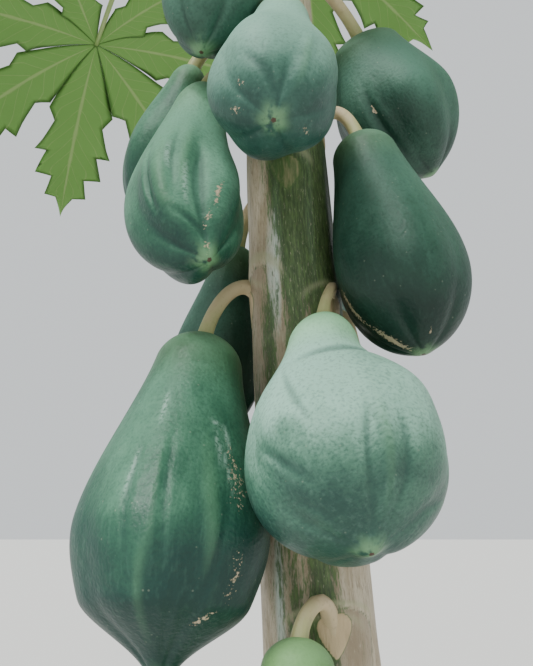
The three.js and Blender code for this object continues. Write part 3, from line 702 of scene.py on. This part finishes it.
# A fold this deep or deeper gets its painted shade in a groove, or its painted highlight on a ridge, in full.
DEEP_FOLD = 0.0015
BEAK_HEIGHT, BEAK_WIDTH = 0.0025, 0.011
END_WIDTH, END_RIDGES = 0.0125, 0.0012
for number, (name, fruit) in enumerate(fruits.items()):
    small = name.startswith("fruit_young")
    detail = DETAILS.get(name, {})
    rows, columns = YOUNG_GRID if small else DRAWN_GRID if detail else PLAIN_GRID
    share = (1 - np.cos(np.pi * np.linspace(0.008, 0.9995, rows))) / 2
    turn = np.linspace(0, 2 * np.pi, columns, endpoint=False)
    radius = fruit_radius(fruit, detail, share, turn, np.random.default_rng(100 + number))
    spine = fruit_spine(fruit, share)
    length = np.linalg.norm(spine[-1] - spine[0])
    # fold carries painted light, shade in the grooves and a highlight on the ridges; lift moves the skin.
    fold, lift = np.zeros((2, *radius.shape))
    for width, height, points in detail.get("folds", ()):
        line = drawn(radius, share, turn, length, width, points)
        fold += line * np.sign(height) * min(1, abs(height) / DEEP_FOLD)
        lift += line * height
    for width, height, points in detail.get("bulges", ()):
        lift += height * drawn(radius, share, turn, length, width, points)
    stains = {kind: np.zeros_like(radius) for kind in ("cork", "latex")}
    for kind, cover in stains.items():
        for strength, width, points in detail.get(kind, ()):
            np.maximum(cover, strength * drawn(radius, share, turn, length, width, points), out=cover)
    rings = rings_round(spine, radius + lift * smooth(radius, 0.004, 0.02), outward(fruit["bearing"]))
    along = (spine[-1] - spine[-8]) / np.linalg.norm(spine[-1] - spine[-8])
    near_end = smooth(share, 0.8, 0.95)[:, None]
    beak = detail.get("beak", BEAK_HEIGHT) * np.exp(-(radius / BEAK_WIDTH) ** 2) * near_end
    rings = rings + beak[..., None] * along
    ridged = np.cos(5 * (turn - math.radians(fruit["turn"])))[None]
    end = np.exp(-(radius / (END_WIDTH + END_RIDGES * ridged)) ** 2) * near_end
    # Painted shade in the five creases that meet at the blossom end.
    fold -= 0.7 * np.clip(-ridged, 0, 1) ** 8 * smooth(share, 0.80, 0.93)[:, None]
    down = share[:, None] + 0 * radius
    # Each fruit reads its noise from another place, so that no two skins are alike.
    skin = np.stack([radius * np.cos(turn)[None] + 0.37 * number, radius * np.sin(turn)[None],
                     down * length], -1)
    # Painted light: the skin is painted lighter where it faces up and darker where it faces down, and each
    # fruit's own offset paints it lighter or darker all over.
    wax = facing_up(rings) + detail.get("wax", 0)
    marks = {"skin": skin, "down": down, "fold": fold, "end": end, "wax": wax, **stains}
    piece = closed_mesh(name.replace("fruit", "papaya"), rings, marks)
    piece.data.materials.append(SKINS[detail.get("skin", "young" if small else "green")])
    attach(piece, "root")
    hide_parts(name)

# Fruit stalks
# A thick woody stalk leaves the shield of each leaf scar, rises a little and turns down into the neck.
# It is ribbed and tan at its root, and turns yellow-green towards the fruit.
STALK_ROOT = 0.0095
STALK_RADIUS = 0.0065
STALK_NECK = 0.008
STALK_COLLAR, COLLAR_SHARE = 0.0035, 0.07
STALK_LEAD, STALK_OVERLAP = 0.024, 0.006
STALK_RINGS, STALK_COLUMNS = 30, 20
STALK_TAN = (0.58, 0.46, 0.28, 1)
STALK_GREEN = (0.38, 0.40, 0.17, 1)
STALK_FLECK = (0.3, 0.23, 0.12, 1)
STALK_ROUGHNESS = 0.55


def one_piece(name, pieces, finish):
    """Joins pieces into the first of them, which gets the name and the finish."""
    bpy.ops.object.select_all(action="DESELECT")
    for piece in pieces:
        piece.select_set(True)
    bpy.context.view_layer.objects.active = pieces[0]
    bpy.ops.object.join()
    pieces[0].name = name
    pieces[0].data.materials.append(finish)
    return pieces[0]


stalk_pieces = []
for name, fruit in fruits.items():
    share = np.linspace(0, 1, STALK_RINGS)
    out = outward(fruit["bearing"])
    along = fruit_spine(fruit, np.array([0.0, 0.01]))
    along = (along[1] - along[0]) / np.linalg.norm(along[1] - along[0])
    root = axis_at(fruit["height"]) + out * (trunk_radius(fruit["height"]) - STALK_ROOT)
    leaving = root + out * STALK_LEAD + np.array([0, 0, fruit["rise"]])
    top = np.array(fruit["top"], float)
    arriving = top - along * STALK_LEAD
    path = curve_through([root, leaving, arriving, top + along * STALK_OVERLAP], share)
    slim = DETAILS.get(name, {}).get("stalk", STALK_RADIUS)
    size = slim + np.where(share < 0.5, STALK_ROOT - slim, STALK_NECK - slim) * (2 * share - 1) ** 4
    size = size + STALK_COLLAR * np.exp(-share / COLLAR_SHARE)
    turn = np.linspace(0, 2 * np.pi, STALK_COLUMNS, endpoint=False)
    ribs = 1 + 0.04 * np.cos(5 * turn)[None] + 0.02 * np.cos(9 * turn + 4 * share[:, None])
    rings = rings_round(path, size[:, None] * ribs, np.array([-out[1], out[0], 0.0]))
    marks = {"down": share[:, None] + 0 * ribs}
    stalk_pieces.append(closed_mesh(f"stalk_{len(stalk_pieces):02d}", rings, marks))

stalk_finish, tree, shader = fresh_finish("stalk_skin")
place = put(tree, "ShaderNodeTexCoord").outputs["Object"]
down = mark_of(tree, "down")
greening = plus(tree, down, grain(tree, place, 60, 3.0), 0.4)
colour = mixed(tree, stepped(tree, greening, 0.6, 1.25), STALK_TAN, STALK_GREEN)
colour = laid(tree, colour, STALK_FLECK, grain(tree, place, 260, 3.0), 0.55, 0.75, 0.4)
tree.links.new(colour, shader.inputs["Base Color"])
shader.inputs["Roughness"].default_value = STALK_ROUGHNESS
rough = {"Height": grain(tree, place, 240, 3.0), "Strength": 0.4, "Distance": 0.001}
tree.links.new(put(tree, "ShaderNodeBump", rough).outputs[0], shader.inputs["Normal"])

stalks = one_piece("fruit_stalks", stalk_pieces, stalk_finish)
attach(stalks, "root")
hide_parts(*fruits)

# Leaves
# Each leaf is a long round petiole that carries a wide blade of seven pointed lobes, cut again along
# their sides. The oldest stand lowest and most level, the youngest upright round the growing tip.
LEAF_COUNT = 28
LEAF_LOW, LEAF_HIGH = 2.215, 2.548
PETIOLE_LONG, PETIOLE_SHORT = 0.740, 0.340
REACH_WIDE, REACH_SMALL = 0.372, 0.090
RISE_LOW, RISE_HIGH = -7, 80
TILT_LOW, TILT_HIGH = -30, 54
YOUTH = 2.4
FIRST_BEARING = 68
PETIOLE_ROOT, PETIOLE_ROOT_YOUNG, PETIOLE_TIP, PETIOLE_ARCH = 0.009, 0.005, 0.0042, 13
PETIOLE_RINGS, PETIOLE_COLUMNS = 40, 12
BLADE_DROOP, BLADE_FOLD, BLADE_WAVE, TOOTH_SWEEP = 0.3, 0.24, 0.022, 0.42
BLADE_THICKNESS = 0.0016
LOBE_ANGLES = (-148, -100, -50, 0, 50, 100, 148)
LOBE_LENGTHS = (0.62, 0.86, 0.97, 1, 0.97, 0.86, 0.62)
LOBE_ALONG, LOBE_ACROSS = 40, 9
# Half a lobe's outline: how far along it and how wide, as shares of its length. Each widening is a tooth.
LOBE_EDGE = ((0, 0), (0.38, 0.177), (0.43, 0.135), (0.53, 0.215), (0.585, 0.145), (0.68, 0.19),
             (0.735, 0.095), (0.82, 0.12), (0.87, 0.05), (1, 0))


def lobe_width(share):
    """Straight from corner to corner of the lobe's outline."""
    return np.interp(share, *zip(*LOBE_EDGE))


def leaf_blade(centre, forward, side, above, reach, rng):
    """Seven lobes round the petiole's end. A point lies so far along its lobe and so far across it; the
    blade sags with the square of its reach, each lobe folds along its rib, and its edge waves."""
    tops, marks = [], []
    share = np.union1d(np.linspace(0, 1, LOBE_ALONG), [along for along, _ in LOBE_EDGE])
    across = np.linspace(-1, 1, LOBE_ACROSS)
    for angle, size in zip(LOBE_ANGLES, LOBE_LENGTHS):
        length = reach * size
        width = length * lobe_width(share)
        turn = math.radians(angle)
        swept = TOOTH_SWEEP * np.abs(across)[None] * width[:, None] * smooth(share, 0.38, 0.5)[:, None]
        straight = length * share[:, None] + swept * (1 - share[:, None] ** 6)
        sideways = across[None] * width[:, None]
        forth = straight * math.cos(turn) - sideways * math.sin(turn)
        aside = straight * math.sin(turn) + sideways * math.cos(turn)
        far = np.hypot(forth, aside)
        sag = BLADE_DROOP * far ** 2 / reach
        fold = BLADE_FOLD * np.abs(sideways) * smooth(share, 0.05, 0.5)[:, None]
        ripple = np.sin(16 * share + rng.uniform(0, 6)) * smooth(share, 0.2, 0.5)
        wave = BLADE_WAVE * reach * ripple[:, None] * across[None] ** 2
        twist = rng.uniform(-0.25, 0.25) * sideways * smooth(share, 0.3, 1)[:, None]
        sway = rng.uniform(-0.07, 0.02) * reach * share[:, None] ** 2
        lift = sway + wave + twist - sag - fold
        tops.append(centre + forth[..., None] * forward + aside[..., None] * side + lift[..., None] * above)
        marks.append(np.stack([share[:, None] + 0 * sideways, across[None] + 0 * sideways,
                               0 * sideways + length], -1))
    return tops, marks


blade_tops = {"low": [], "high": []}
petiole_rings = []
for index in range(LEAF_COUNT):
    young = index / (LEAF_COUNT - 1)
    bearing = FIRST_BEARING + GOLDEN_ANGLE * index
    level = LEAF_LOW + (LEAF_HIGH - LEAF_LOW) * young
    small = young ** YOUTH
    petiole = PETIOLE_LONG + (PETIOLE_SHORT - PETIOLE_LONG) * small
    rise = math.radians(RISE_LOW + (RISE_HIGH - RISE_LOW) * young)
    reach = REACH_WIDE + (REACH_SMALL - REACH_WIDE) * small
    tilt = math.radians(TILT_LOW + (TILT_HIGH - TILT_LOW) * young)
    out, up = outward(bearing), np.array([0.0, 0.0, 1.0])
    on_bark = axis_at(level) + out * trunk_radius(level)
    centre = on_bark + petiole * (out * math.cos(rise) + up * math.sin(rise))
    root_radius = PETIOLE_ROOT + (PETIOLE_ROOT_YOUNG - PETIOLE_ROOT) * young
    root = on_bark - out * root_radius
    steep = rise + math.radians(PETIOLE_ARCH * (1 - young))
    middle = root + 0.5 * petiole * (out * math.cos(steep) + up * math.sin(steep))
    share = np.linspace(0, 1, PETIOLE_RINGS)
    path = curve_through([root, middle, centre], share)
    size = root_radius + (PETIOLE_TIP * (1 - 0.6 * young) - root_radius) * share
    radius = size[:, None] + np.zeros(PETIOLE_COLUMNS)
    petiole_rings.append(rings_round(path, radius, np.array([-out[1], out[0], 0.0])))
    forward = out * math.cos(tilt) + up * math.sin(tilt)
    side = np.cross(up, out)
    above = np.cross(forward, side)
    rng = np.random.default_rng(500 + index)
    tops, marks = leaf_blade(centre, forward, side, above, reach, rng)
    tint = rng.uniform(0, 1)
    part = "low" if index < LEAF_COUNT // 2 else "high"
    blade_tops[part] += [(top, mark, above, tint) for top, mark in zip(tops, marks)]


def blade_mesh(name, lobes):
    """Each lobe is thin and closed: an upper sheet and a lower one that share their rim. The lower
    sheet lies under the upper by the blade's thickness times 1.6 less the share across the lobe."""
    points, faces, veins, unders, tints = [], [], [], [], []
    start = 0
    for top, mark, above, tint in lobes:
        rows, columns = top.shape[:2]
        upper = np.arange(rows * columns).reshape(rows, columns)
        rim = np.ones((rows, columns), bool)
        rim[1:-1, 1:-1] = False
        lower = np.where(rim, upper, rows * columns + np.cumsum(~rim).reshape(rim.shape) - 1)
        thick = BLADE_THICKNESS * (1.6 - np.abs(mark[..., 1]))
        under = (top - thick[..., None] * above)[~rim]
        points += [top.reshape(-1, 3), under]
        for sheet, order in ((upper, 1), (lower, -1)):
            quads = np.stack([sheet[:-1, :-1], sheet[1:, :-1], sheet[1:, 1:], sheet[:-1, 1:]], -1)
            faces.append(quads.reshape(-1, 4)[:, ::order] + start)
        veins += [mark.reshape(-1, 3), mark[~rim]]
        unders += [np.where(rim, 0.4, 0.0).ravel(), np.ones(under.shape[0])]
        tints += [np.full(rows * columns + under.shape[0], tint)]
        start += rows * columns + under.shape[0]
    mesh = bpy.data.meshes.new(name)
    mesh.from_pydata(np.concatenate(points).tolist(), [], np.concatenate(faces).tolist())
    for mark, values in (("vein", veins), ("under", unders), ("tint", tints)):
        values = np.concatenate(values)
        layer = mesh.attributes.new(mark, "FLOAT_VECTOR" if values.ndim == 2 else "FLOAT", "POINT")
        layer.data.foreach_set("vector" if values.ndim == 2 else "value", values.ravel())
    mesh.shade_smooth()
    piece = bpy.data.objects.new(name, mesh)
    bpy.context.scene.collection.objects.link(piece)
    return piece


LEAF_DEEP = (0.035, 0.125, 0.014, 1)
LEAF_FRESH = (0.075, 0.21, 0.02, 1)
LEAF_DULL = (0.06, 0.15, 0.03, 1)
LEAF_UNDER = (0.15, 0.31, 0.07, 1)
VEIN_PALE = (0.26, 0.36, 0.13, 1)
LEAF_ROUGHNESS, LEAF_SHEEN = 0.6, 0.32
SIDE_VEINS, VEIN_SLANT = 12.9, 1.55
leaf_finish, tree, shader = fresh_finish("leaf_blade")
place = put(tree, "ShaderNodeTexCoord").outputs["Object"]
rib = put(tree, "ShaderNodeSeparateXYZ", {0: mark_of(tree, "vein", "Vector")})
off_rib = joined(tree, "ABSOLUTE", rib.outputs[1], 0.0)
colour = mixed(tree, mark_of(tree, "tint"), LEAF_DEEP, LEAF_FRESH)
colour = laid(tree, colour, LEAF_DULL, grain(tree, place, 30, 3.0), 0.4, 0.7, 0.5)
colour = laid(tree, colour, LEAF_UNDER, mark_of(tree, "under"), 0.3, 0.9, 0.75)
# Side veins are steps along the lobe that lean forward with the share across it.
ladder = joined(tree, "SUBTRACT", times(tree, rib.outputs[0], SIDE_VEINS), times(tree, off_rib, VEIN_SLANT))
side_vein = stepped(tree, joined(tree, "PINGPONG", ladder, 0.5), 0.06, 0.015, 0.36)
main_vein = stepped(tree, off_rib, 0.08, 0.025, 0.75)
vein_share = joined(tree, "MAXIMUM", side_vein, main_vein)
colour = mixed(tree, vein_share, colour, VEIN_PALE)
tree.links.new(colour, shader.inputs["Base Color"])
shader.inputs["Roughness"].default_value = LEAF_ROUGHNESS
shader.inputs["Specular IOR Level"].default_value = LEAF_SHEEN
raised = {"Height": vein_share, "Strength": 0.5, "Distance": 0.002}
tree.links.new(put(tree, "ShaderNodeBump", raised).outputs[0], shader.inputs["Normal"])
for part, lobes in blade_tops.items():
    blades = blade_mesh(f"leaf_blades_{part}", lobes)
    blades.data.materials.append(leaf_finish)
    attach(blades, "root")
    first = 0 if part == "low" else LEAF_COUNT // 2
    last = LEAF_COUNT // 2 if part == "low" else LEAF_COUNT
    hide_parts(*[f"leaf_{index + 1:02d}" for index in range(first, last)])

PETIOLE_GREEN = (0.20, 0.30, 0.09, 1)
PETIOLE_PALE = (0.30, 0.36, 0.15, 1)
PETIOLE_ROUGHNESS = 0.45
petiole_finish, tree, shader = fresh_finish("petiole_skin")
place = put(tree, "ShaderNodeTexCoord").outputs["Object"]
colour = mixed(tree, stepped(tree, grain(tree, place, 12, 3.0), 0.4, 0.7), PETIOLE_GREEN, PETIOLE_PALE)
tree.links.new(colour, shader.inputs["Base Color"])
shader.inputs["Roughness"].default_value = PETIOLE_ROUGHNESS
petiole_pieces = [closed_mesh(f"petiole_{index:02d}", rings, {}) for index, rings in enumerate(petiole_rings)]
petioles = one_piece("leaf_petioles", petiole_pieces, petiole_finish)
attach(petioles, "root")
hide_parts(*[f"leaf_{index + 1:02d}" for index in range(LEAF_COUNT)])
